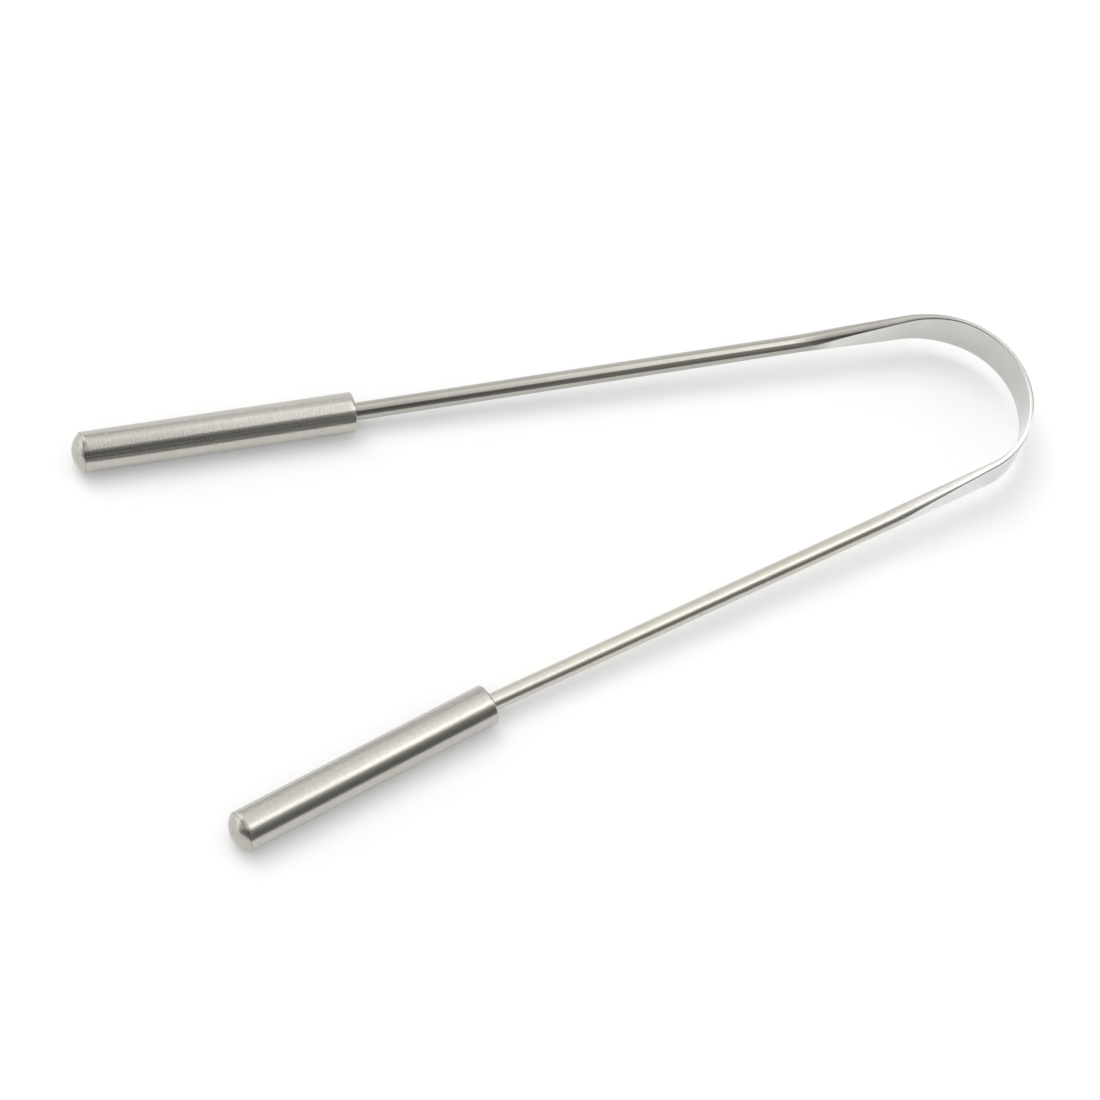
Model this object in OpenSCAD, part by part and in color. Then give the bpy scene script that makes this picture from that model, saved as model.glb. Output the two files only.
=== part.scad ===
// Tongue scraper: one springy steel wire bent to a U. Its bow is pressed flat into the blade,
// and each end carries a round hollow grip with a domed plug. The bow points to +X, the left
// arm lies at +Y, and the grips rest on z = 0. All lengths are in millimetres.

/* [Wire] */
// Diameter of the round wire
rod_d = 2.8; // [2.2:0.1:3.4]
// Length of an arm, from the mouth of its grip to the start of the bow
arm_len = 90; // [80:1:110]
// Angle between an arm and the centre line
arm_splay = 7.7; // [5:0.1:12]
// Angle at which the wire climbs from the grips to the bow
arm_rise = 2; // [1:0.1:4]
// Radius of the short bend where the wire leaves a grip
bend_r = 12; // [8:1:20]

/* [Blade] */
// Width of the blade, from its lower to its upper edge
blade_w = 7.4; // [5:0.1:9]
// Thickness of the blade
blade_t = 0.76; // [0.5:0.02:1.2]
// Length over which the round wire turns flat
taper_len = 24.5; // [20:0.5:32]
// Length that stays flat past a line of flexing, before the taper starts
flat_end = 1.4; // [1:0.1:3]

/* [Bow] */
// Radius of the bow round its tip, to the middle of the blade's thickness
tip_r = 14.3; // [12:0.1:17.5]
// Radius of the bow's left shoulder, between its tip and the left arm
left_shoulder_r = 17.5; // [10:0.5:26]
// Radius of the bow's right shoulder, which the hand-bent wire turns tighter
right_shoulder_r = 12.5; // [10:0.5:26]

/* [Flex] */
// Angle round the bow, from its tip to a shoulder, where the arm flexes
flex_angle = 50; // [42:1:60]
// Clearance of the rounded blade end in the hollow end of an arm
flex_gap = 0.05; // [0.03:0.01:0.08]

/* [Grips] */
// Outer diameter of a grip
grip_d = 6.35; // [5.8:0.05:9]
// Length of a grip, with its dome
grip_len = 43.8; // [36:0.1:60]
// Wall of a grip's tube
grip_wall = 0.6; // [0.5:0.05:0.9]
// Radius of the rounded edge at a grip's mouth
mouth_round = 0.35; // [0.2:0.05:0.45]
// Angle that the left grip is turned outwards from its arm
left_toe = -0.8; // [-3:0.1:4]
// Angle that the right grip is turned outwards from its arm
right_toe = 3.4; // [-3:0.1:4]

/* [Plugs and bushes] */
// Height of the dome on an end plug
dome_h = 1.6; // [0.8:0.1:2.4]
// Length of an end plug inside its tube
plug_len = 10; // [8:0.5:14]
// Depth of the socket that holds the wire's end
socket_depth = 6; // [3:0.5:7]
// Length of a front bush
bush_len = 8; // [5:0.5:12]
// Depth of a front bush behind the mouth
bush_recess = 0.6; // [0.5:0.1:2]
// Clearance between pieces that are pressed together
seat_gap = 0.02; // [0.01:0.01:0.03]

/* [Hidden] */
$fn = 96;
wire_steel = [0.80, 0.79, 0.76];
grip_steel = [0.74, 0.74, 0.72];
plug_steel = [0.70, 0.70, 0.67];
bush_steel = [0.60, 0.60, 0.59];

rod_r = rod_d / 2;
edge_r = blade_t / 2;
edge_z = blade_w / 2 - edge_r;
grip_r = grip_d / 2;
bore_r = grip_r - grip_wall;
tube_len = grip_len - dome_h;
dome_ball_r = (grip_r * grip_r + dome_h * dome_h) / (2 * dome_h);
rod_inset = tube_len - plug_len + socket_depth - seat_gap;
overrun = 1;

// What differs between the left side (1) and the right side (-1)
function shoulder_r(side) = side > 0 ? left_shoulder_r : right_shoulder_r;
function toe(side) = side > 0 ? left_toe : right_toe;

// Places along an arm, measured from the mouth of its grip
bow_turn = 90 - arm_splay;
shoulder_turn = bow_turn - flex_angle;
function arc_len(radius, turn) = radius * turn * PI / 180;
function half_bow_len(side) = arc_len(tip_r, flex_angle) + arc_len(shoulder_r(side), shoulder_turn);
flat_len = arc_len(tip_r, flex_angle) + flat_end;
function taper_start(side) = arm_len + half_bow_len(side) - flat_len - taper_len;

// How far the wire is pressed flat, at a distance from the tip along the wire: 0 is round
function flatness(distance) = min(1, max(0, (flat_len + taper_len - distance) / taper_len));

// The wire gets thin sooner than it gets wide
thin_power = 0.75;

// Places in the plane of the wire, measured from the centre of the tip's arc, outwards along +Y
function along(angle) = [cos(angle), sin(angle), 0];
function mouth(side) = (tip_r - shoulder_r(side)) * along(flex_angle)
    + shoulder_r(side) * along(bow_turn) + arm_len * along(180 - arm_splay);

// Line through both mouths, from right to left, about which the wire climbs
mouth_step = mouth(1) - [mouth(-1).x, -mouth(-1).y, 0];
mouth_line = mouth_step / norm(mouth_step);
tip_reach = cross([tip_r, 0, 0] - mouth(1), mouth_line).z;

// A loft is a hair smaller than what it joins, and runs a little way into it
ring_points = 40;
taper_rings = 12;
shoulder_rings = 10;
bend_rings = 4;
inset_share = 0.99;
loft_overlap = 0.3;

// How far the part reaches from the centre of the tip's arc, which centres it in plan
function turn_out(side) = arm_splay + toe(side);
function back_reach(side) = dome_ball_r - mouth(side).x
    + (grip_len - dome_ball_r) * cos(turn_out(side));
function side_reach(side) = mouth(side).y
    + tube_len * sin(turn_out(side)) + grip_r * cos(turn_out(side));
front_reach = tip_r + edge_r
    + mouth_line.y * (edge_z * sin(arm_rise) - tip_reach * (1 - cos(arm_rise)));
centre_x = (front_reach - max(back_reach(1), back_reach(-1))) / 2;
centre_y = (side_reach(1) - side_reach(-1)) / 2;

// Direction in which the wire leaves a grip, as it climbs, then as seen along that grip
function climb(v, axis) = v * cos(arm_rise) + axis * (axis * v) * (1 - cos(arm_rise))
    - cross(axis, v) * sin(arm_rise);
function arm_lead(side) = climb(along(-arm_splay), [side * mouth_line.x, mouth_line.y, 0]);
function turned(v, angle) = [
    v.x * cos(angle) - v.y * sin(angle),
    v.x * sin(angle) + v.y * cos(angle),
    v.z
];
function lead(side) = turned(arm_lead(side), turn_out(side));
function bend_angle(side) = acos(lead(side).x);
function bend_roll(side) = atan2(lead(side).z, lead(side).y);
function bend_reach(side) = bend_r * tan(bend_angle(side) / 2);

// Frames

// Centre of the tip's arc, at the height of the grips
module tool_frame() translate([-centre_x, -centre_y, grip_r]) children();

// The same, turned about the line through the mouths into the plane of the wire
module wire_frame() tool_frame() translate(mouth(1)) rotate(a = -arm_rise, v = mouth_line)
    translate(-mouth(1)) children();

// The right side is built like the left one and turned over about the centre line
module sided(side) {
    if (side > 0) children();
    else mirror([0, 1, 0]) children();
}

// Line of flexing at one end of the blade, +X outwards from the centre of the tip's arc
module flex_frame(side) wire_frame() sided(side)
    rotate([0, 0, flex_angle]) translate([tip_r, 0, 0]) children();

// Mouth of a grip, +X along the arm towards the bow
module arm_frame(side) wire_frame() sided(side)
    translate(mouth(side)) rotate([0, 0, -arm_splay]) children();

// Mouth of a grip, +X along the grip towards the bow
module grip_frame(side) tool_frame() sided(side)
    translate(mouth(side)) rotate([0, 0, -turn_out(side)]) children();

// The same place, with +Z running back along the grip to its dome
module grip_axis(side) grip_frame(side) rotate([0, -90, 0]) children();

// Profiles

// Flattened wire: thickness along x, width along y, round edges
module blade_section() {
    square([blade_t, 2 * edge_z], center = true);
    for (side = [-1, 1])
        translate([0, side * edge_z]) circle(edge_r);
}

// Outer half of the flattened wire, from the middle of its thickness
module half_blade_section() intersection() {
    blade_section();
    translate([0, -blade_w]) square([blade_w, 2 * blade_w]);
}

// Wall of a grip's tube: radius along x, distance from the mouth along y
module tube_section() difference() {
    translate([bore_r, 0]) square([grip_wall, tube_len]);
    translate([grip_r - mouth_round, 0]) difference() {
        translate([0, -mouth_round]) square([2 * mouth_round, 2 * mouth_round]);
        translate([0, mouth_round]) circle(mouth_round);
    }
}

// Dome of an end plug: radius along x, distance from the tube's end along y
module dome_section() intersection() {
    translate([0, dome_h - dome_ball_r]) circle(dome_ball_r);
    square([grip_r, dome_h]);
}

// Stretches of the wire

// Rounded end of the blade, which an arm flexes about
module knuckle() scale(inset_share) rotate_extrude() half_blade_section();

// One ring of points at x along an arm, at a distance from the tip along the wire
function ring(x, distance) =
    let (
        round_r = inset_share * rod_r,
        half_t = round_r + (edge_r - round_r) * pow(flatness(distance), thin_power),
        half_w = round_r + (blade_w / 2 - round_r) * flatness(distance),
        point_r = half_t / cos(180 / ring_points),
        shift = half_w - half_t
    )
    [for (i = [0 : ring_points - 1])
        let (a = (i + 0.5) * 360 / ring_points)
        [x, point_r * cos(a), point_r * sin(a) + shift * sign(sin(a))]];

function round_ring(x) = ring(x, flat_len + taper_len);

// A ring that is carried round a bend, which starts at a place along the arm
function bent(points, start, radius, turn) = [for (p = points) [
    start + radius * sin(turn) + p.x * cos(turn) - p.y * sin(turn),
    radius * (1 - cos(turn)) + p.x * sin(turn) + p.y * cos(turn),
    p.z
]];

// Closed skin over a row of rings
module loft(rings) {
    last = len(rings) - 1;
    polyhedron(
        points = [for (r = rings) each r],
        faces = [
            [for (i = [0 : ring_points - 1]) i],
            for (r = [0 : last - 1], i = [0 : ring_points - 1])
                let (
                    here = r * ring_points + i,
                    next = r * ring_points + (i + 1) % ring_points
                )
                each [
                    [here, here + ring_points, next],
                    [next, here + ring_points, next + ring_points]
                ],
            [for (i = [ring_points - 1 : -1 : 0]) last * ring_points + i]
        ]
    );
}

// Pressed stretch of an arm: it turns flat, then follows the shoulder to the line of flexing
module pressed_end(side) loft([
    ring(taper_start(side) - loft_overlap, flat_len + taper_len),
    for (k = [0 : taper_rings - 1])
        let (x = taper_start(side) + (arm_len - taper_start(side)) * k / taper_rings)
        ring(x, arm_len + half_bow_len(side) - x),
    for (k = [0 : shoulder_rings])
        let (turn = shoulder_turn * k / shoulder_rings)
        bent(
            ring(0, half_bow_len(side) - arc_len(shoulder_r(side), turn)),
            arm_len, -shoulder_r(side), -turn
        )
]);

// Short bend that leads the wire out of a grip
module rod_bend(side) rotate([bend_roll(side), 0, 0]) loft([
    bent(round_ring(-loft_overlap), -bend_reach(side), bend_r, 0),
    for (k = [0 : bend_rings])
        bent(round_ring(0), -bend_reach(side), bend_r, bend_angle(side) * k / bend_rings),
    bent(round_ring(loft_overlap), -bend_reach(side), bend_r, bend_angle(side))
]);

// Pieces of one side

module arm(side) color(wire_steel) {
    difference() {
        arm_frame(side) pressed_end(side);
        flex_frame(side) cylinder(r = edge_r + flex_gap, h = 2 * blade_w, center = true);
    }
    arm_frame(side) translate([bend_reach(side), 0, 0]) rotate([0, 90, 0])
        cylinder(r = rod_r, h = taper_start(side) - bend_reach(side));
    grip_frame(side) rod_bend(side);
    grip_axis(side) translate([0, 0, bend_reach(side)])
        cylinder(r = rod_r, h = rod_inset - bend_reach(side));
}

module grip(side) color(grip_steel) grip_axis(side) rotate_extrude() tube_section();

module end_plug(side) color(plug_steel) grip_axis(side) translate([0, 0, tube_len]) difference() {
    union() {
        rotate_extrude() dome_section();
        translate([0, 0, -plug_len]) cylinder(r = bore_r - seat_gap, h = plug_len);
    }
    translate([0, 0, -plug_len - overrun])
        cylinder(r = rod_r + seat_gap, h = socket_depth + overrun);
}

module bush(side) color(bush_steel) grip_axis(side) translate([0, 0, bush_recess]) difference() {
    cylinder(r = bore_r - seat_gap, h = bush_len);
    translate([0, 0, -overrun]) cylinder(r = rod_r + seat_gap, h = bush_len + 2 * overrun);
}

// Nodes

module blade() color(wire_steel) {
    wire_frame() rotate([0, 0, -flex_angle]) rotate_extrude(angle = 2 * flex_angle)
        translate([tip_r, 0]) blade_section();
    for (side = [-1, 1]) flex_frame(side) knuckle();
}
module left_arm() arm(1);
module right_arm() arm(-1);
module left_grip() grip(1);
module right_grip() grip(-1);
module left_end_plug() end_plug(1);
module right_end_plug() end_plug(-1);
module left_bush() bush(1);
module right_bush() bush(-1);

blade();
left_arm();
right_arm();
left_grip();
right_grip();
left_end_plug();
right_end_plug();
left_bush();
right_bush();
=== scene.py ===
import math

import bmesh
import bpy
import numpy as np
from mathutils import Matrix


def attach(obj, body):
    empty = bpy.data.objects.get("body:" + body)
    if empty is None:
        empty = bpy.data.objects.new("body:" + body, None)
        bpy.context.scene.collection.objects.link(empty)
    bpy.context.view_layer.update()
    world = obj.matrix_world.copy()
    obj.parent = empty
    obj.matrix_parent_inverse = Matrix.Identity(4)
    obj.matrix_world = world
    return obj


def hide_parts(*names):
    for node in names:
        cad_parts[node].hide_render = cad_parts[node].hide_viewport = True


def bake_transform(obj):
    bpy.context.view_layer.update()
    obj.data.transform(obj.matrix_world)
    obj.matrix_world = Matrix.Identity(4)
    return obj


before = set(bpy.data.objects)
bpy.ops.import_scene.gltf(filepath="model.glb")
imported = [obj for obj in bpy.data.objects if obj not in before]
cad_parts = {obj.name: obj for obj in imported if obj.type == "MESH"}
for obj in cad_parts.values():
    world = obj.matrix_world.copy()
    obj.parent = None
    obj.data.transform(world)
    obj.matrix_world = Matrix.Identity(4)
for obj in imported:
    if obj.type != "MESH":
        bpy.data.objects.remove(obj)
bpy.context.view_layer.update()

# Sizes, in millimetres and degrees, as in the part's source. Side 1 is the left one and -1 the right one.
MM = 0.001
ROD_R, ARM_LEN, SPLAY, RISE, BEND_R = 1.4, 90.0, 7.7, 2.0, 12.0
BLADE_W, BLADE_T, TAPER_LEN, FLAT_END, THIN_POWER = 7.4, 0.76, 24.5, 1.4, 0.75
TIP_R, SHOULDER_R, FLEX = 14.3, {1: 17.5, -1: 12.5}, 50.0
GRIP_R, GRIP_LEN, WALL, MOUTH_ROUND = 3.175, 43.8, 0.6, 0.35
TOE = {1: -0.8, -1: 3.4}
DOME_H, PLUG_LEN, SOCKET, BUSH_LEN, BUSH_RECESS, SEAT = 1.6, 10.0, 6.0, 8.0, 0.6, 0.02

EDGE_R = BLADE_T / 2
EDGE_Z = BLADE_W / 2 - EDGE_R
TIP_LEN = math.radians(FLEX) * TIP_R
FLAT_LEN = TIP_LEN + FLAT_END
TUBE_LEN = GRIP_LEN - DOME_H
BALL_R = (GRIP_R ** 2 + DOME_H ** 2) / (2 * DOME_H)
BOW_TURN = 90 - SPLAY

# Lengths under this count as nothing
TINY = 1e-12


def sin(a):
    return math.sin(math.radians(a))


def cos(a):
    return math.cos(math.radians(a))


def along(a):
    """The level direction that is a degrees round from +X."""
    return np.array([cos(a), sin(a), 0.0])


def flip(v, side):
    """Takes a point or direction from the left, where both sides are laid out, to its own side."""
    return np.asarray(v, float) * [1, side, 1]


def unit(v):
    return v / np.linalg.norm(v)


# Frames, as in the part's source

def shoulder_centre(side):
    return (TIP_R - SHOULDER_R[side]) * along(FLEX)


def arm_point(side, distance):
    """The point of a flat laid arm at this distance from the bow's end."""
    return shoulder_centre(side) + SHOULDER_R[side] * along(BOW_TURN) + distance * along(180 - SPLAY)


def mouth(side):
    return arm_point(side, ARM_LEN)


def turn_out(side):
    return SPLAY + TOE[side]


# The line through both mouths, round which the bow is lifted, and how far the bow's tip is in front of it
LINE = unit(mouth(1) - flip(mouth(-1), -1))
REACH = np.cross(np.array([TIP_R, 0, 0]) - mouth(1), LINE)[2]


def back_reach(side):
    return (GRIP_LEN - BALL_R) * cos(turn_out(side)) + BALL_R - mouth(side)[0]


def side_reach(side):
    return mouth(side)[1] + TUBE_LEN * sin(turn_out(side)) + GRIP_R * cos(turn_out(side))


FRONT = TIP_R + EDGE_R + LINE[1] * (EDGE_Z * sin(RISE) - REACH * (1 - cos(RISE)))
ORIGIN = np.array([
    (max(back_reach(1), back_reach(-1)) - FRONT) / 2,
    (side_reach(-1) - side_reach(1)) / 2,
    GRIP_R,
])


def tilt(v):
    """Turns a direction round the line through both mouths, which lifts the bow."""
    v = np.asarray(v, float)
    return v * cos(RISE) - np.cross(LINE, v) * sin(RISE) + LINE * np.dot(LINE, v) * (1 - cos(RISE))


def wire_point(p):
    """Takes a point of the flat laid wire to its place."""
    return ORIGIN + mouth(1) + tilt(p - mouth(1))


def grip_frame(side):
    """Place of a grip's mouth, direction back along the grip, a level direction square to it, and up."""
    back = flip(-along(-turn_out(side)), side)
    up = np.array([0, 0, 1.0])
    return ORIGIN + flip(mouth(side), side), back, unit(np.cross(up, back)), up


# Meshes

def new_object(name, data):
    obj = bpy.data.objects.new(name, data)
    bpy.context.scene.collection.objects.link(obj)
    return obj


def new_mesh(name, points, faces, corner_uv):
    """A mesh from points in millimetres, and the UV map "mm" of millimetres along and round the piece."""
    mesh = bpy.data.meshes.new(name)
    mesh.from_pydata((points.reshape(-1, 3) * MM).tolist(), [], faces)
    layer = mesh.uv_layers.new(name="mm")
    layer.data.foreach_set("uv", np.array(corner_uv, np.float32).ravel())
    return mesh


def ring_normals(grid):
    """Normals of a grid of points [ring, place] that closes round along its second index."""
    n = np.cross(np.gradient(grid, axis=0), np.roll(grid, -1, 1) - np.roll(grid, 1, 1))
    length = np.linalg.norm(n, axis=2, keepdims=True)
    return n / np.where(length < TINY, 1, length)


def ring_piece(name, grid, normals, s, around, values, caps, flipped):
    """A skin of closed rings, at s millimetres along and with places at around millimetres round.
    values holds the points' named attributes, caps says which of the two ends get a face, and
    flipped turns the faces over."""
    rings, count = grid.shape[:2]
    around_next = np.append(around[1:], around[-1] + (around[1] - around[0]))
    faces, corner_uv = [], []
    for r in range(rings - 1):
        a, b = r * count, (r + 1) * count
        for i in range(count):
            j = (i + 1) % count
            quad = [a + i, a + j, b + j, b + i]
            at = [(s[r], around[i]), (s[r], around_next[i]),
                  (s[r + 1], around_next[i]), (s[r + 1], around[i])]
            faces.append(quad[::-1] if flipped else quad)
            corner_uv += at[::-1] if flipped else at
    skin_faces = len(faces)
    for r, wanted in zip((0, rings - 1), caps):
        if wanted:
            ring = [r * count + i for i in range(count)]
            faces.append(ring[::-1] if (r == 0) != flipped else ring)
            corner_uv += [(0.0, 0.0)] * count
    mesh = new_mesh(name, grid, faces, corner_uv)
    mesh.polygons.foreach_set("use_smooth", [i < skin_faces for i in range(len(faces))])
    for label, value in values.items():
        layer = mesh.attributes.new(label, "FLOAT", "POINT")
        layer.data.foreach_set("value", np.asarray(value, np.float32).ravel())
    mesh.update()
    corners = np.zeros(len(mesh.loops), np.int32)
    mesh.loops.foreach_get("vertex_index", corners)
    corner_normals = normals.reshape(-1, 3)[corners]
    # Each face of the skin has four corners, and the caps come after them
    start = skin_faces * 4
    for cap in list(mesh.polygons)[skin_faces:]:
        corner_normals[start:start + cap.loop_total] = list(cap.normal)
        start += cap.loop_total
    mesh.normals_split_custom_set(corner_normals.tolist())
    return new_object(name, mesh)


# The wire

# Points on a quarter of the outline: on the flat, over the crease and on the bulged edge
FLAT_POINTS, CREASE_POINTS, SIDE_POINTS = 9, 5, 9
# Least half width of the flat's points, and half the width that the crease's points take on a wide
# and on a narrow flat
LEAST_FLAT, CREASE_SPAN, NARROW_SPAN = 0.5, 0.1, 0.04
# How far the crease is softened, and how fast that sets in as the wire is pressed
CREASE_SOFT, SOFT_RATE = 0.08, 25
# How much rounder the pressed edges are than the rod was, and how late that sets in
EDGE_ROUNDING, ROUNDING_POWER = 0.515, 2.5
# Share of the taper's length over which each of its ends is eased, to both sides
TAPER_EASE = 0.12
# Distances between the wire's rings
BOW_SPACING, TAPER_SPACING, ARM_SPACING = 0.25, 0.16, 1.5
# Places of the rings in the bend at the mouth, and depths of the next ones in the grip
BEND_STEPS, INNER_DEPTHS = (0.0, 0.25, 0.5, 0.75, 1.0), (2.0, 8.0, TUBE_LEN - PLUG_LEN + SOCKET - SEAT)
# Millimetres of texture that go once round the wire
TEXTURE_ROUND = 18.0
# Degrees round the bow from its tip at which its piece meets the arms' pieces
CUT_ANGLE = 40


def press_at(s):
    """How far the wire is pressed at s millimetres from the tip of the bow: 0 is round, 1 is flat."""
    def eased(t):
        if t < -TAPER_EASE:
            return 0.0
        return (t + TAPER_EASE) ** 2 / (4 * TAPER_EASE) if t < TAPER_EASE else t

    t = 1 - (s - FLAT_LEN) / TAPER_LEN
    return eased(t) if t < 0.5 else 1 - eased(1 - t)


def wire_section(press):
    """Closed outline (through the thickness, across the width): two flats, softened creases, bulged edges."""
    half_t = ROD_R + (EDGE_R - ROD_R) * press ** THIN_POWER
    half_w = ROD_R + (BLADE_W / 2 - ROD_R) * press
    crease = math.degrees(math.acos(half_t / ROD_R)) * (1 - EDGE_ROUNDING * press ** ROUNDING_POWER)
    bulge_r = half_t / cos(crease)
    centre = half_w - bulge_r
    edge = centre + bulge_r * sin(crease)
    soft = CREASE_SOFT * min(1.0, press * SOFT_RATE)
    flat_end = max(edge, LEAST_FLAT)
    span = CREASE_SPAN if edge > LEAST_FLAT + CREASE_SPAN else NARROW_SPAN
    first = math.degrees(math.asin(min(1.0, max(-1.0, (flat_end + span - centre) / bulge_r))))
    widths = [(flat_end - span) * i / FLAT_POINTS for i in range(FLAT_POINTS)]
    widths += [flat_end - span + 2 * span * i / CREASE_POINTS for i in range(CREASE_POINTS)]
    widths += [centre + bulge_r * sin(first + (90 - first) * i / SIDE_POINTS) for i in range(SIDE_POINTS)]
    quarter = []
    for x in widths:
        bulge = math.sqrt(max(0.0, bulge_r ** 2 - max(0.0, x - centre) ** 2))
        gap = abs(half_t - bulge)
        eased = max(soft - gap, 0) ** 2 / (4 * soft) if soft > TINY else 0
        quarter.append((min(half_t, bulge) - eased, x))
    ring = quarter + [(0.0, half_w)]
    ring += [(-t, x) for t, x in quarter[::-1]]
    ring += [(-t, -x) for t, x in quarter[1:]]
    ring += [(0.0, -half_w)]
    ring += [(t, -x) for t, x in quarter[:0:-1]]
    return np.array(ring)


def flat_shares():
    """How much each point of wire_section's outline belongs to a flat: 1 there, 0 on the bulged edges."""
    crease = [1 - (i + 1) / (CREASE_POINTS + 1) for i in range(CREASE_POINTS)]
    quarter = [1.0] * FLAT_POINTS + crease + [0.0] * SIDE_POINTS
    return np.array(quarter + [0.0] + quarter[::-1] + quarter[1:] + [0.0] + quarter[:0:-1])


def side_rows(side):
    """The rings of one side, from the tip of the bow to the end in the grip: place, direction through the
    thickness, direction across the width, and distance along the wire."""
    half_bow = TIP_LEN + math.radians(BOW_TURN - FLEX) * SHOULDER_R[side]
    end = half_bow + ARM_LEN
    taper_end = FLAT_LEN + TAPER_LEN * (1 + TAPER_EASE)
    stations = [*np.arange(0, FLAT_LEN, BOW_SPACING), *np.arange(FLAT_LEN, taper_end, TAPER_SPACING),
                *np.arange(taper_end, end - ARM_SPACING, ARM_SPACING)]
    across = tilt([0, 0, 1.0])
    rows = []
    for s in stations:
        if s <= TIP_LEN:
            phi = math.degrees(s / TIP_R)
            p = TIP_R * along(phi)
        elif s <= half_bow:
            phi = FLEX + math.degrees((s - TIP_LEN) / SHOULDER_R[side])
            p = shoulder_centre(side) + SHOULDER_R[side] * along(phi)
        else:
            phi = BOW_TURN
            p = arm_point(side, s - half_bow)
        rows.append((wire_point(flip(p, side)), tilt(flip(along(phi), side)), across, s))

    place, back, _, _ = grip_frame(side)
    arm_dir = tilt(flip(along(180 - SPLAY), side))
    outward = rows[-1][1]
    bend = math.degrees(math.acos(min(1.0, float(np.dot(arm_dir, back)))))
    reach = BEND_R * math.tan(math.radians(bend / 2))
    p0, p1, p2 = place - reach * arm_dir, place, place + reach * back
    for t in BEND_STEPS:
        p = (1 - t) ** 2 * p0 + 2 * t * (1 - t) * p1 + t * t * p2
        tangent = unit((1 - t) * (p1 - p0) + t * (p2 - p1))
        n = unit(outward - np.dot(outward, tangent) * tangent)
        w = np.cross(tangent, n)
        rows.append((p, n, unit(w) * np.sign(np.dot(w, across)), end + (2 * t - 1) * reach))
    _, n, w, _ = rows[-1]
    return rows + [(place + depth * back, n, w, end + depth) for depth in INNER_DEPTHS]


def build_wire():
    """The wire as one skin in three pieces that meet ring to ring: the bow, the arms by side, and the
    places where they meet."""
    left, right = side_rows(1), side_rows(-1)
    rows = right[:0:-1] + left
    s = np.array([-row[3] for row in right[:0:-1]] + [row[3] for row in left])
    grid, press = [], []
    for place, n, w, distance in rows:
        press.append(press_at(distance))
        ring = wire_section(press[-1])
        grid.append(place + ring[:, :1] * n + ring[:, 1:] * w)
    grid = np.array(grid)
    places = grid.shape[1]
    press = np.repeat(np.array(press)[:, None], places, 1)
    flat = press * flat_shares()
    around = np.arange(places) * TEXTURE_ROUND / places
    middle = np.array([row[0] for row in rows])
    normals = ring_normals(grid)
    inward = float(np.sum(normals * (grid - middle[:, None]))) < 0
    if inward:
        normals = -normals
    cut_right = int(np.argmin(np.abs(s + math.radians(CUT_ANGLE) * TIP_R)))
    cut_left = int(np.argmin(np.abs(s - math.radians(CUT_ANGLE) * TIP_R)))

    def part(name, first, last, caps):
        cut = slice(first, last + 1)
        values = {"press": press[cut], "flat": flat[cut]}
        return ring_piece(name, grid[cut], normals[cut], s[cut], around, values, caps, not inward)

    bow = part("blade_bow", cut_right, cut_left, (False, False))
    arms = {
        1: part("left_wire_arm", cut_left, len(rows) - 1, (False, True)),
        -1: part("right_wire_arm", 0, cut_right, (True, False)),
    }
    return bow, arms, {1: middle[cut_left], -1: middle[cut_right]}


# The grips

# Segments round a turned piece, the least angle in degrees of an edge that stays sharp, the radius
# that counts as on the axis in millimetres, and the distance in metres at which points are joined
SEGMENTS, SHARP, ON_AXIS, JOINED = 160, 35, 1e-6, 1e-8
# Size of the lip in a tube's mouth and of a bush's eased edges, and the depth of one more ring in the bore
MOUTH_LIP, BUSH_EASE, BORE_RING = 0.08, 0.1, 12.0
# Eased edges at a tube's back end: distance behind that end and depth under the tube's outside
TUBE_EDGE = ((-0.06, 0.0), (-0.02, 0.02), (0.0, 0.07))
PLUG_EDGE = ((0.0, 0.09), (0.03, 0.03))
# How far behind that end the ball of the dome starts
DOME_START = 0.09
MOUTH_STEPS, OUTSIDE_RINGS, DOME_STEPS = 10, 60, 26


def lathe(name, side, profile):
    """Turns a closed profile of (distance back from the mouth, radius) round the axis of a grip."""
    place, back, level, up = grip_frame(side)
    points = np.array(profile)
    turn = np.arange(SEGMENTS) * 2 * math.pi / SEGMENTS
    ring = np.cos(turn)[:, None] * level + np.sin(turn)[:, None] * up
    grid = place + points[:, None, :1] * back + points[:, None, 1:] * ring[None]
    step = 2 * math.pi / SEGMENTS * GRIP_R
    faces, corner_uv = [], []
    for r, ((s, radius), (next_s, next_radius)) in enumerate(zip(profile, profile[1:])):
        if max(radius, next_radius) < ON_AXIS:
            continue
        a, b = r * SEGMENTS, (r + 1) * SEGMENTS
        for i in range(SEGMENTS):
            j = (i + 1) % SEGMENTS
            faces.append([a + i, b + i, b + j, a + j])
            corner_uv += [(s, i * step), (next_s, i * step),
                          (next_s, (i + 1) * step), (s, (i + 1) * step)]
    mesh = new_mesh(name, grid, faces, corner_uv)
    bm = bmesh.new()
    bm.from_mesh(mesh)
    bmesh.ops.remove_doubles(bm, verts=bm.verts, dist=JOINED)
    bmesh.ops.recalc_face_normals(bm, faces=bm.faces)
    for face in bm.faces:
        face.smooth = True
    for edge in bm.edges:
        if len(edge.link_faces) == 2 and edge.calc_face_angle(0) > math.radians(SHARP):
            edge.smooth = False
    bm.to_mesh(mesh)
    bm.free()
    return new_object(name, mesh)


def arc(cx, cr, radius, a0, a1, steps):
    """Points (x, r) of an arc about (cx, cr); angles in degrees from the axis direction."""
    angles = [a0 + (a1 - a0) * i / steps for i in range(steps + 1)]
    return [(cx + radius * cos(a), cr + radius * sin(a)) for a in angles]


def edge_points(edge):
    return [(TUBE_LEN + behind, GRIP_R - depth) for behind, depth in edge]


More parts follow.
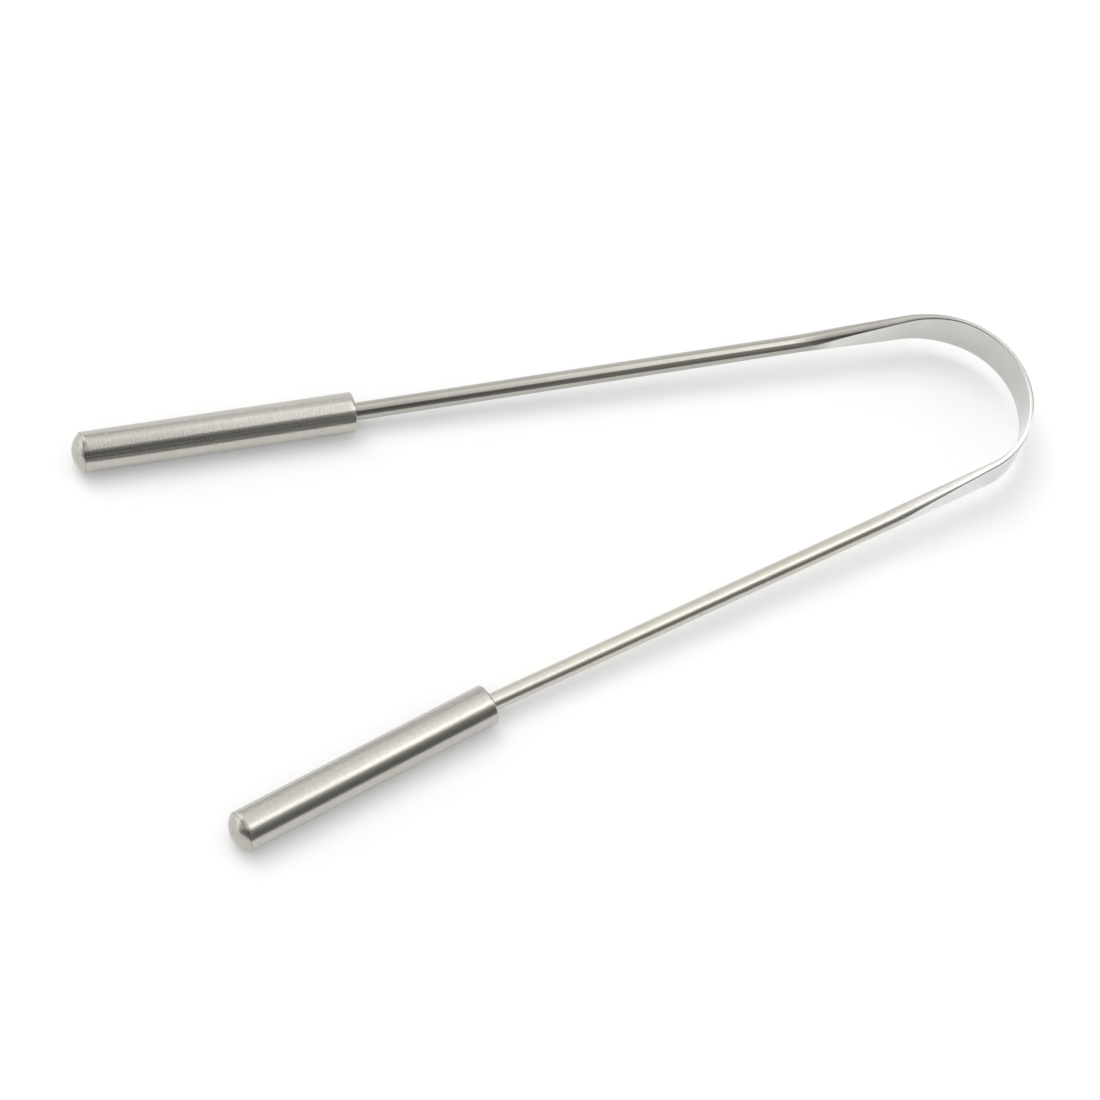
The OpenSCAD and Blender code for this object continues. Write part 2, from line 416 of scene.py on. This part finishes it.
def tube_profile():
    """The bore, the lip and rounded edge of the mouth, the outside, and the back end."""
    bore = GRIP_R - WALL
    outside = np.linspace(MOUTH_ROUND, TUBE_LEN + TUBE_EDGE[0][0], OUTSIDE_RINGS)
    profile = [(TUBE_LEN, bore), (BORE_RING, bore), (MOUTH_LIP, bore), (0.0, bore + MOUTH_LIP)]
    profile += arc(MOUTH_ROUND, GRIP_R - MOUTH_ROUND, MOUTH_ROUND, 180, 90, MOUTH_STEPS)
    profile += [(x, GRIP_R) for x in outside[1:-1]]
    return profile + edge_points(TUBE_EDGE) + [(TUBE_LEN, bore)]


def dome_profile():
    """The plug inside the tube, its dome, and the socket that holds the wire's end."""
    bore, hole = GRIP_R - WALL - SEAT, ROD_R + SEAT
    front = TUBE_LEN - PLUG_LEN
    bottom = front + SOCKET
    centre = TUBE_LEN + DOME_H - BALL_R
    first = math.degrees(math.acos((TUBE_LEN - centre + DOME_START) / BALL_R))
    profile = [(front, hole), (front, bore), (TUBE_LEN, bore)] + edge_points(PLUG_EDGE)
    profile += [(x, max(r, 0.0)) for x, r in arc(centre, 0.0, BALL_R, first, 0.0, DOME_STEPS)]
    return profile + [(bottom, 0.0), (bottom, hole), (front, hole)]


def bush_profile():
    """A plain ring with eased edges at its front."""
    bore, hole = GRIP_R - WALL - SEAT, ROD_R + SEAT
    front, back = BUSH_RECESS, BUSH_RECESS + BUSH_LEN
    start = (front + BUSH_EASE, hole)
    return [start, (front, hole + BUSH_EASE), (front, bore - BUSH_EASE), (front + BUSH_EASE, bore),
            (back, bore), (back, hole), start]


# Shader nodes

def clear_tree(owner):
    owner.use_nodes = True
    owner.node_tree.nodes.clear()
    return owner.node_tree


def add(tree, kind, inputs=None, **settings):
    """A node whose inputs are set to values or linked to sockets."""
    node = tree.nodes.new(kind)
    for key, value in settings.items():
        setattr(node, key, value)
    for key, value in (inputs or {}).items():
        if isinstance(value, bpy.types.NodeSocket):
            tree.links.new(value, node.inputs[key])
        else:
            node.inputs[key].default_value = value
    return node


def math_node(tree, operation, *terms):
    return add(tree, "ShaderNodeMath", dict(enumerate(terms)), operation=operation).outputs[0]


def plus(tree, total, *terms):
    for term in terms:
        total = math_node(tree, "ADD", total, term)
    return total


def times(tree, product, *terms):
    for term in terms:
        product = math_node(tree, "MULTIPLY", product, term)
    return product


def fade(tree, value, start, end, curve="LINEAR"):
    """0 up to start and 1 from end on."""
    return add(tree, "ShaderNodeMapRange", {"Value": value, "From Min": start, "From Max": end},
               interpolation_type=curve, clamp=True).outputs[0]


def grain(tree, vector, scale, detail, rough, shift):
    """Noise in millimetre coordinates, with its own scale along and round the piece."""
    moved = add(tree, "ShaderNodeMapping", {
        "Vector": vector, "Location": (shift, shift * SHIFT_ROUND, 0), "Scale": (*scale, 1)})
    noise = add(tree, "ShaderNodeTexNoise", {
        "Vector": moved.outputs[0], "Scale": 1.0, "Detail": detail, "Roughness": rough},
        noise_dimensions="2D")
    return noise.outputs["Fac"]


def lumps(tree, scale, detail, rough):
    """Noise in the piece's own space, in features per millimetre, with no seam or pole on a dome."""
    place = add(tree, "ShaderNodeTexCoord").outputs["Object"]
    noise = add(tree, "ShaderNodeTexNoise", {
        "Vector": place, "Scale": scale / MM, "Detail": detail, "Roughness": rough},
        noise_dimensions="3D")
    return noise.outputs["Fac"]


def ramp(tree, fac, stops):
    """Colours or grey values at places from 0 to 1."""
    node = add(tree, "ShaderNodeValToRGB", {"Fac": fac})
    elements = node.color_ramp.elements
    while len(elements) < len(stops):
        elements.new(0.5)
    for element, (at, value) in zip(elements, stops):
        element.position = at
        element.color = (*value, 1) if isinstance(value, tuple) else (value, value, value, 1)
    return node.outputs["Color"]


def mix_value(tree, fac, a, b):
    return add(tree, "ShaderNodeMix", {0: fac, 2: a, 3: b}, data_type="FLOAT").outputs[0]


def mix_colour(tree, fac, a, b, blend="MIX"):
    return add(tree, "ShaderNodeMix", {0: fac, 6: a, 7: b}, data_type="RGBA", blend_type=blend).outputs[2]


def shaded(tree, colour, shade):
    return mix_colour(tree, 1.0, colour, shade, "MULTIPLY")


def scaled(colour, k):
    return tuple(c * k for c in colour)


# Materials

# Noise: features per millimetre along and round the piece, detail, roughness and shift. It is
# shifted SHIFT_ROUND times as far round the piece as along it.
SHIFT_ROUND = 1.7
DRAWN_LINES = (0.06, 7.0), 5, 0.65, 0.0
LINES_ACROSS = (1.6, 0.05), 5, 0.6, 3.0
WIRE_CLOUD = (0.22, 0.22), 4, 0.55, 8.0
WIRE_FINE = (9.0, 9.0), 3, 0.7, 5.0
WIRE_PITS = (3.2, 4.5), 3, 0.6, 6.0
TURNED_RINGS = (6.5, 0.07), 6, 0.7, 0.0
BROAD_RINGS = (1.1, 0.03), 3, 0.5, 4.0
TURNED_CLOUD = (0.12, 0.25), 4, 0.55, 9.0
TURNED_BLOTCH = (1.6, 1.1), 4, 0.6, 12.0
TURNED_FINE = (14.0, 5.0), 3, 0.7, 5.0
# The same on a dome: features per millimetre, detail and roughness
DOME_CLOUD, DOME_BLOTCH, DOME_FINE = (0.3, 3.0, 0.5), (1.4, 4, 0.6), (9.0, 2, 0.6)
# The dents' detail, roughness, shift, and how much closer they are round the piece
DENT_DETAIL, DENT_ROUGH, DENT_SHIFT, DENT_ROUND = 2, 0.5, 2.0, 1.1

# Colour of the wire's round or bulged surface and of its two flats: the steel's own tone with painted
# highlight and painted reflection laid on it, lighter towards the bow's tip and along the right arm, darker
# along the left arm. 0 is TONE_AND_SHEEN_REACH millimetres from the bow's tip on the right, 0.5 is the tip,
# and 1 is as far on the left
TONE_AND_SHEEN_REACH = 50.0
EDGE_TONES_AND_PAINTED_SHEEN = [
    (0.0, (0.64, 0.615, 0.55)), (0.15, (0.68, 0.664, 0.615)), (0.35, (0.84, 0.83, 0.81)),
    (0.53, (0.86, 0.85, 0.83)), (0.61, (0.72, 0.71, 0.68)), (0.67, (0.52, 0.51, 0.48)),
    (0.78, (0.462, 0.450, 0.408))]
FLAT_TONES_AND_PAINTED_SHEEN = [
    (0.26, (0.93, 0.93, 0.92)), (0.42, (0.66, 0.65, 0.62)), (0.5, (0.632, 0.622, 0.594)),
    (0.6, (0.66, 0.65, 0.62)), (0.78, (0.79, 0.78, 0.75)), (0.95, (0.95, 0.94, 0.91))]
# How much a point's share of the flat brings the flats' tone
ON_FLAT = [(0.02, 0.0), (0.16, 1.0)]
# Shades that the noise lays over the tones
LINE_SHADES, FLAT_LINE_SHADES = [(0.3, 0.92), (0.5, 0.98), (0.72, 1.0)], [(0.3, 0.97), (0.7, 1.0)]
WIRE_CLOUD_SHADES, TURNED_CLOUD_SHADES = [(0.3, 0.94), (0.7, 1.0)], [(0.3, 0.95), (0.7, 1.0)]
RING_SHADES = [(0.3, 0.97), (0.5, 1.0), (0.7, 1.02)]
BLOTCH_UNTIL, PLAIN_FROM = 0.36, 0.6
# Where along the wire the right arm's finish turns into the left arm's, in millimetres from the tip
RIGHT_UNTIL, LEFT_FROM = -22.0, 18.0
# Least roughness, depth of the lines and depth of the pits on the right arm, the left arm and the bow
WIRE_ROUGH, WIRE_DEPTH, PIT_DEPTH = (0.17, 0.05, 0.06), (1.0, 0.3, 0.6), (2.5, 0.5, 0.15)
# What lines, rings and fine grain add to the roughness, and rings and fine grain to the bump
LINE_ROUGH, FINE_ROUGH, RING_ROUGH, BROAD_ROUGH = 0.08, 0.06, 0.04, 0.03
RING_BUMP, FINE_BUMP, WIRE_BUMP = 0.35, 0.3, 0.45
# Depth of the bumps in metres
BUMP_DEPTH = 0.00002


def finish_steel(tree, colour, roughness, bump, strength):
    bumped = add(tree, "ShaderNodeBump", {"Height": bump, "Strength": strength, "Distance": BUMP_DEPTH})
    shader = add(tree, "ShaderNodeBsdfPrincipled", {
        "Base Color": colour, "Metallic": 1.0, "Roughness": roughness, "Normal": bumped.outputs[0]})
    add(tree, "ShaderNodeOutputMaterial", {"Surface": shader.outputs[0]})


def wire_material():
    """Bright drawn wire with lines along it, pressed and polished with fine lines across where it is flat.
    Its colour holds painted highlight and painted reflection, lighter on the right arm and towards the tip.
    """
    material = bpy.data.materials.new("bright_wire")
    tree = clear_tree(material)
    uv = add(tree, "ShaderNodeUVMap", uv_map="mm").outputs[0]
    press = add(tree, "ShaderNodeAttribute", attribute_name="press").outputs["Fac"]
    flat = add(tree, "ShaderNodeAttribute", attribute_name="flat").outputs["Fac"]
    place = add(tree, "ShaderNodeSeparateXYZ", {0: uv}).outputs[0]
    left_share = fade(tree, place, RIGHT_UNTIL, LEFT_FROM, "SMOOTHSTEP")
    sheen_place = fade(tree, place, -TONE_AND_SHEEN_REACH, TONE_AND_SHEEN_REACH)

    def by_place(right, left, bow):
        return mix_value(tree, press, mix_value(tree, left_share, right, left), bow)

    lines = mix_value(tree, flat, grain(tree, uv, *DRAWN_LINES), grain(tree, uv, *LINES_ACROSS))
    cloud = grain(tree, uv, *WIRE_CLOUD)
    fine = grain(tree, uv, *WIRE_FINE)
    # The steel's tone with painted highlight and painted reflection by place along the wire, on the rounds
    # and on the flats
    tone = mix_colour(tree, ramp(tree, flat, ON_FLAT), ramp(tree, sheen_place, EDGE_TONES_AND_PAINTED_SHEEN),
                      ramp(tree, sheen_place, FLAT_TONES_AND_PAINTED_SHEEN))
    streaks = mix_colour(tree, flat, ramp(tree, lines, LINE_SHADES), ramp(tree, lines, FLAT_LINE_SHADES))
    colour = shaded(tree, shaded(tree, tone, streaks), ramp(tree, cloud, WIRE_CLOUD_SHADES))
    rough = plus(tree, by_place(*WIRE_ROUGH), times(tree, lines, LINE_ROUGH), times(tree, fine, FINE_ROUGH))
    pits = times(tree, grain(tree, uv, *WIRE_PITS), by_place(*PIT_DEPTH))
    height = times(tree, plus(tree, lines, times(tree, fine, FINE_BUMP)), by_place(*WIRE_DEPTH))
    finish_steel(tree, colour, rough, plus(tree, height, pits), WIRE_BUMP)
    return material


def turned_material(name, tone, least_rough, strength, dents, mottle, domed=False):
    """Satin steel with fine rings round it, left by turning. strength is that of the bump, dents holds the
    scale and depth of its unevenness, and mottle is how much darker its blotches are."""
    material = bpy.data.materials.new(name)
    tree = clear_tree(material)
    uv = add(tree, "ShaderNodeUVMap", uv_map="mm").outputs[0]
    rings = grain(tree, uv, *TURNED_RINGS)
    broad = grain(tree, uv, *BROAD_RINGS)
    dent_scale, dent_depth = dents
    if domed:
        noises = DOME_CLOUD, DOME_BLOTCH, DOME_FINE
        cloud, blotch, fine = (lumps(tree, *noise) for noise in noises)
        uneven = lumps(tree, dent_scale, DENT_DETAIL, DENT_ROUGH)
    else:
        noises = TURNED_CLOUD, TURNED_BLOTCH, TURNED_FINE
        cloud, blotch, fine = (grain(tree, uv, *noise) for noise in noises)
        dent_scales = (dent_scale, dent_scale * DENT_ROUND)
        uneven = grain(tree, uv, dent_scales, DENT_DETAIL, DENT_ROUGH, DENT_SHIFT)
    colour = ramp(tree, rings, [(at, scaled(tone, shade)) for at, shade in RING_SHADES])
    colour = shaded(tree, colour, ramp(tree, cloud, TURNED_CLOUD_SHADES))
    colour = shaded(tree, colour, ramp(tree, blotch, [(BLOTCH_UNTIL, 1 - mottle), (PLAIN_FROM, 1.0)]))
    rough = math_node(tree, "MULTIPLY_ADD", rings, RING_ROUGH, least_rough)
    rough = plus(tree, rough, times(tree, broad, BROAD_ROUGH))
    height = plus(tree, times(tree, rings, RING_BUMP), times(tree, fine, FINE_BUMP),
                  times(tree, uneven, dent_depth))
    finish_steel(tree, colour, rough, height, strength)
    return material


def dress(piece, material, slot):
    piece.data.materials.clear()
    piece.data.materials.append(material)


# Pieces: the bow and the grips' pieces on their bodies, the arms baked in place

GRIP_TONE, DOME_TONE, BUSH_TONE = (0.525, 0.508, 0.466), (0.53, 0.512, 0.463), (0.36, 0.355, 0.34)
wire_steel = wire_material()
grip_steel = {
    side: turned_material(name, GRIP_TONE, least_rough, strength=0.6, dents=(4.0, 1.1), mottle=0.05)
    for side, name, least_rough in ((1, "satin_grip_left", 0.05), (-1, "satin_grip_right", 0.16))}
plug_steel = turned_material("satin_dome", DOME_TONE, least_rough=0.20, strength=0.5, dents=(0.9, 3.0),
                             mottle=0.14, domed=True)
bush_steel = turned_material("plain_bush", BUSH_TONE, least_rough=0.3, strength=0.3, dents=(3.0, 1.0),
                             mottle=0.1)

bow, arms, ends = build_wire()
dress(bow, wire_steel, "wire")
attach(bow, "bow")
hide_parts("blade")
for side, name in ((1, "left"), (-1, "right")):
    arm = arms[side]
    dress(arm, wire_steel, "wire")
    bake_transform(arm)
    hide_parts(name + "_arm")
    for label, profile, material, slot, node in (
            ("grip_tube", tube_profile(), grip_steel[side], "grip", "grip"),
            ("grip_dome", dome_profile(), plug_steel, "plug", "end_plug"),
            ("mouth_bush", bush_profile(), bush_steel, "bush", "bush")):
        piece = lathe(name + "_" + label, side, profile)
        dress(piece, material, slot)
        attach(piece, name + "_side")
        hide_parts(name + "_" + node)


# Floor

# Half the floor's side in metres, how many features of its grain cross it, and its range of tones
FLOOR_HALF, FLOOR_GRAIN, FLOOR_TONES = 3.0, 900.0, [(0.3, 0.93), (0.7, 0.95)]
# What is added to the floor as the camera and as the steel see it, so that it looks white
FLOOR_LIFT, MIRRORED_LIFT = 0.115, 0.12


def floor_material():
    material = bpy.data.materials.new("pale_floor")
    tree = clear_tree(material)
    noise = add(tree, "ShaderNodeTexNoise", {"Scale": FLOOR_GRAIN, "Detail": 3.0})
    diffuse = add(tree, "ShaderNodeBsdfDiffuse", {"Color": ramp(tree, noise.outputs["Fac"], FLOOR_TONES)})
    path = add(tree, "ShaderNodeLightPath")
    strength = plus(tree, times(tree, path.outputs["Is Camera Ray"], FLOOR_LIFT),
                    times(tree, path.outputs["Is Glossy Ray"], MIRRORED_LIFT))
    lift = add(tree, "ShaderNodeEmission", {"Color": (1, 1, 1, 1), "Strength": strength})
    surface = add(tree, "ShaderNodeAddShader", {0: diffuse.outputs[0], 1: lift.outputs[0]})
    add(tree, "ShaderNodeOutputMaterial", {"Surface": surface.outputs[0]})
    return material


floor_mesh = bpy.data.meshes.new("floor")
floor_corners = [(x * FLOOR_HALF, y * FLOOR_HALF, 0) for x, y in ((-1, -1), (1, -1), (1, 1), (-1, 1))]
floor_mesh.from_pydata(floor_corners, [], [(0, 1, 2, 3)])
floor_mesh.materials.append(floor_material())
floor = new_object("floor", floor_mesh)


# Light

# The room that the steel mirrors, laid out by direction: u is x / z and v is y / z, with z at least
# LEAST_Z. GRIP_SIDE is its light by v from V_START to V_END where u is low, and BOW_SIDE, with a
# bright panel, where u is high. Both are held as shares of PEAK.
LEAST_Z, PEAK = 0.03, 2.5
V_START, V_END = -4.0, 2.0
GRIP_SIDE_UNTIL, BOW_SIDE_FROM = 0.15, 0.25
GRIP_SIDE = [
    (-4.0, 0.28), (-2.4, 0.07), (-0.95, 0.06), (-0.7, 0.07), (-0.5, 0.30), (-0.4, 0.58),
    (-0.3, 0.68), (-0.15, 0.76), (0.0, 0.94), (0.3, 1.12), (0.6, 1.22), (1.2, 1.12), (2.0, 1.3)]
BOW_SIDE = [
    (-4.0, 0.20), (-2.4, 0.15), (-1.5, 0.19), (-0.9, 0.27), (-0.65, 0.38), (-0.5, 0.80), (-0.4, 1.4),
    (-0.32, 2.2), (-0.2, 2.45), (-0.05, 2.25), (0.1, 1.7), (0.3, 1.4), (0.6, 1.2), (1.2, 1.02), (2.0, 0.76)]
# Patches of light and shade on top of that: how much each adds, and the smooth steps that bound it
PATCHES = {
    "glow": (0.35, ("v", 0.6, 1.1), ("u", 0.10, 0.0)),
    "strip": (0.65, ("u", 0.112, 0.132), ("u", 0.20, 0.15), ("v", -0.42, -0.36), ("v", -0.18, -0.26)),
    "line": (0.30, ("v", -1.62, -1.52), ("v", -1.38, -1.46), ("u", 0.18, 0.11)),
    "hall": (0.75, ("u", 0.27, 0.295), ("u", 0.39, 0.33), ("v", 0.1, 0.28), ("v", 0.8, 0.5)),
    "haze": (0.16, ("u", 0.12, 0.15), ("u", 0.45, 0.32), ("v", -0.5, -0.8)),
    "far_wall": (0.3, ("u", 0.58, 0.72), ("v", 1.4, 1.8)),
    "right_wall": (-0.8, ("u", 0.43, 0.6), ("v", -0.2, 0.1), ("v", 1.3, 0.9)),
    "left_wall": (-0.5, ("u", 0.07, -0.08), ("v", -0.1, 0.2), ("v", 1.0, 0.6)),
    "sill": (0.26, ("u", 0.098, 0.112), ("u", 0.19, 0.15), ("v", -1.2, -0.7), ("v", -0.1, -0.3)),
    "back_wall": (-0.26, ("u", 0.75, 0.6), ("v", 1.6, 2.8)),
    "corner": (0.08, ("u", 0.065, 0.04), ("v", -0.4, -0.7)),
}
# The even light that falls on matt surfaces, its tint, and the tint of the lamps
ROOM, ROOM_TINT = 0.66, (0.985, 0.997, 1.012, 1)
LAMP_TINT = (1.03, 1.01, 0.975)


def studio():
    """A white room: white to the camera, even to matt surfaces, and with its panel and walls to the steel."""
    world = bpy.data.worlds.new("studio")
    bpy.context.scene.world = world
    tree = clear_tree(world)
    direction = add(tree, "ShaderNodeTexCoord").outputs["Generated"]
    x, y, z = add(tree, "ShaderNodeSeparateXYZ", {0: direction}).outputs
    height = math_node(tree, "MAXIMUM", z, LEAST_Z)
    axes = {"u": math_node(tree, "DIVIDE", x, height), "v": math_node(tree, "DIVIDE", y, height)}

    def step(axis, start, end):
        return fade(tree, axes[axis], start, end, "SMOOTHSTEP")

    def falloff(stops):
        shares = [((at - V_START) / (V_END - V_START), light / PEAK) for at, light in stops]
        return ramp(tree, place, shares)

    place = fade(tree, axes["v"], V_START, V_END)
    bow_share = step("u", GRIP_SIDE_UNTIL, BOW_SIDE_FROM)
    level = times(tree, mix_value(tree, bow_share, falloff(GRIP_SIDE), falloff(BOW_SIDE)), PEAK)
    for name, (amount, *edges) in PATCHES.items():
        patch = times(tree, *(step(*edge) for edge in edges), amount)
        patch.node.label = name
        level = plus(tree, level, patch)
    path = add(tree, "ShaderNodeLightPath")
    level = mix_value(tree, path.outputs["Is Diffuse Ray"], level, ROOM)
    level = mix_value(tree, path.outputs["Is Camera Ray"], level, 1.0)
    tint = mix_colour(tree, path.outputs["Is Diffuse Ray"], (1, 1, 1, 1), ROOM_TINT)
    background = add(tree, "ShaderNodeBackground", {"Color": tint, "Strength": level})
    add(tree, "ShaderNodeOutputWorld", {"Surface": background.outputs[0]})


def set_place(obj, x_axis, y_axis, z_axis, at):
    """Puts a lamp or camera at a place in metres, with these axes."""
    rows = np.vstack([np.column_stack([x_axis, y_axis, z_axis, at]), [0, 0, 0, 1]])
    obj.matrix_world = Matrix([[*map(float, row)] for row in rows])


def soft_lamp(name, towards, spread, irradiance):
    """A wide lamp far away, spread degrees across. The steel mirrors the room instead of it."""
    data = bpy.data.lights.new(name, "SUN")
    data.energy = irradiance
    data.color = LAMP_TINT
    data.angle = math.radians(spread)
    lamp = new_object(name, data)
    z_axis = unit(np.array(towards, float))
    x_axis = unit(np.cross([0, 1, 0], z_axis))
    set_place(lamp, x_axis, np.cross(z_axis, x_axis), z_axis, [0, 0, 1])
    lamp.visible_glossy = False


soft_lamp("far_lamp", (-0.14, 0.50, 0.85), spread=30, irradiance=0.36)
soft_lamp("top_lamp", (-0.14, 0.26, 0.96), spread=50, irradiance=0.67)
studio()


# Camera, as fitted to the photo

# Direction, height and roll in degrees, distance in millimetres, and in pixels the focal length and
# the photo's width
AZ, EL, ROLL, DIST, FOCUS, PHOTO = -36.860, 61.417, 17.602, 484.912, 3173.217, 1100
# The point that it looks at: how far behind the bow's tip, and how far to the left
AIM_BACK, AIM_LEFT = 82.426, -4.502
# Width of the sensor in millimetres, and the range that the camera sees in metres
SENSOR, NEAREST, FARTHEST = 36.0, 0.01, 20

target = ORIGIN + [TIP_R - AIM_BACK, AIM_LEFT, 0.0]
behind = np.array([sin(AZ) * cos(EL), -cos(AZ) * cos(EL), sin(EL)])
level_right = np.array([cos(AZ), sin(AZ), 0.0])
level_up = np.cross(behind, level_right)
right = cos(ROLL) * level_right + sin(ROLL) * level_up
up = -sin(ROLL) * level_right + cos(ROLL) * level_up
camera_data = bpy.data.cameras.new("camera")
camera_data.sensor_fit = "HORIZONTAL"
camera_data.sensor_width = SENSOR
camera_data.lens = FOCUS / PHOTO * SENSOR
camera_data.clip_start, camera_data.clip_end = NEAREST, FARTHEST
camera = new_object("camera", camera_data)
set_place(camera, right, up, behind, (target + behind * DIST) * MM)
bpy.context.scene.camera = camera

bpy.context.scene.view_settings.view_transform = "Standard"
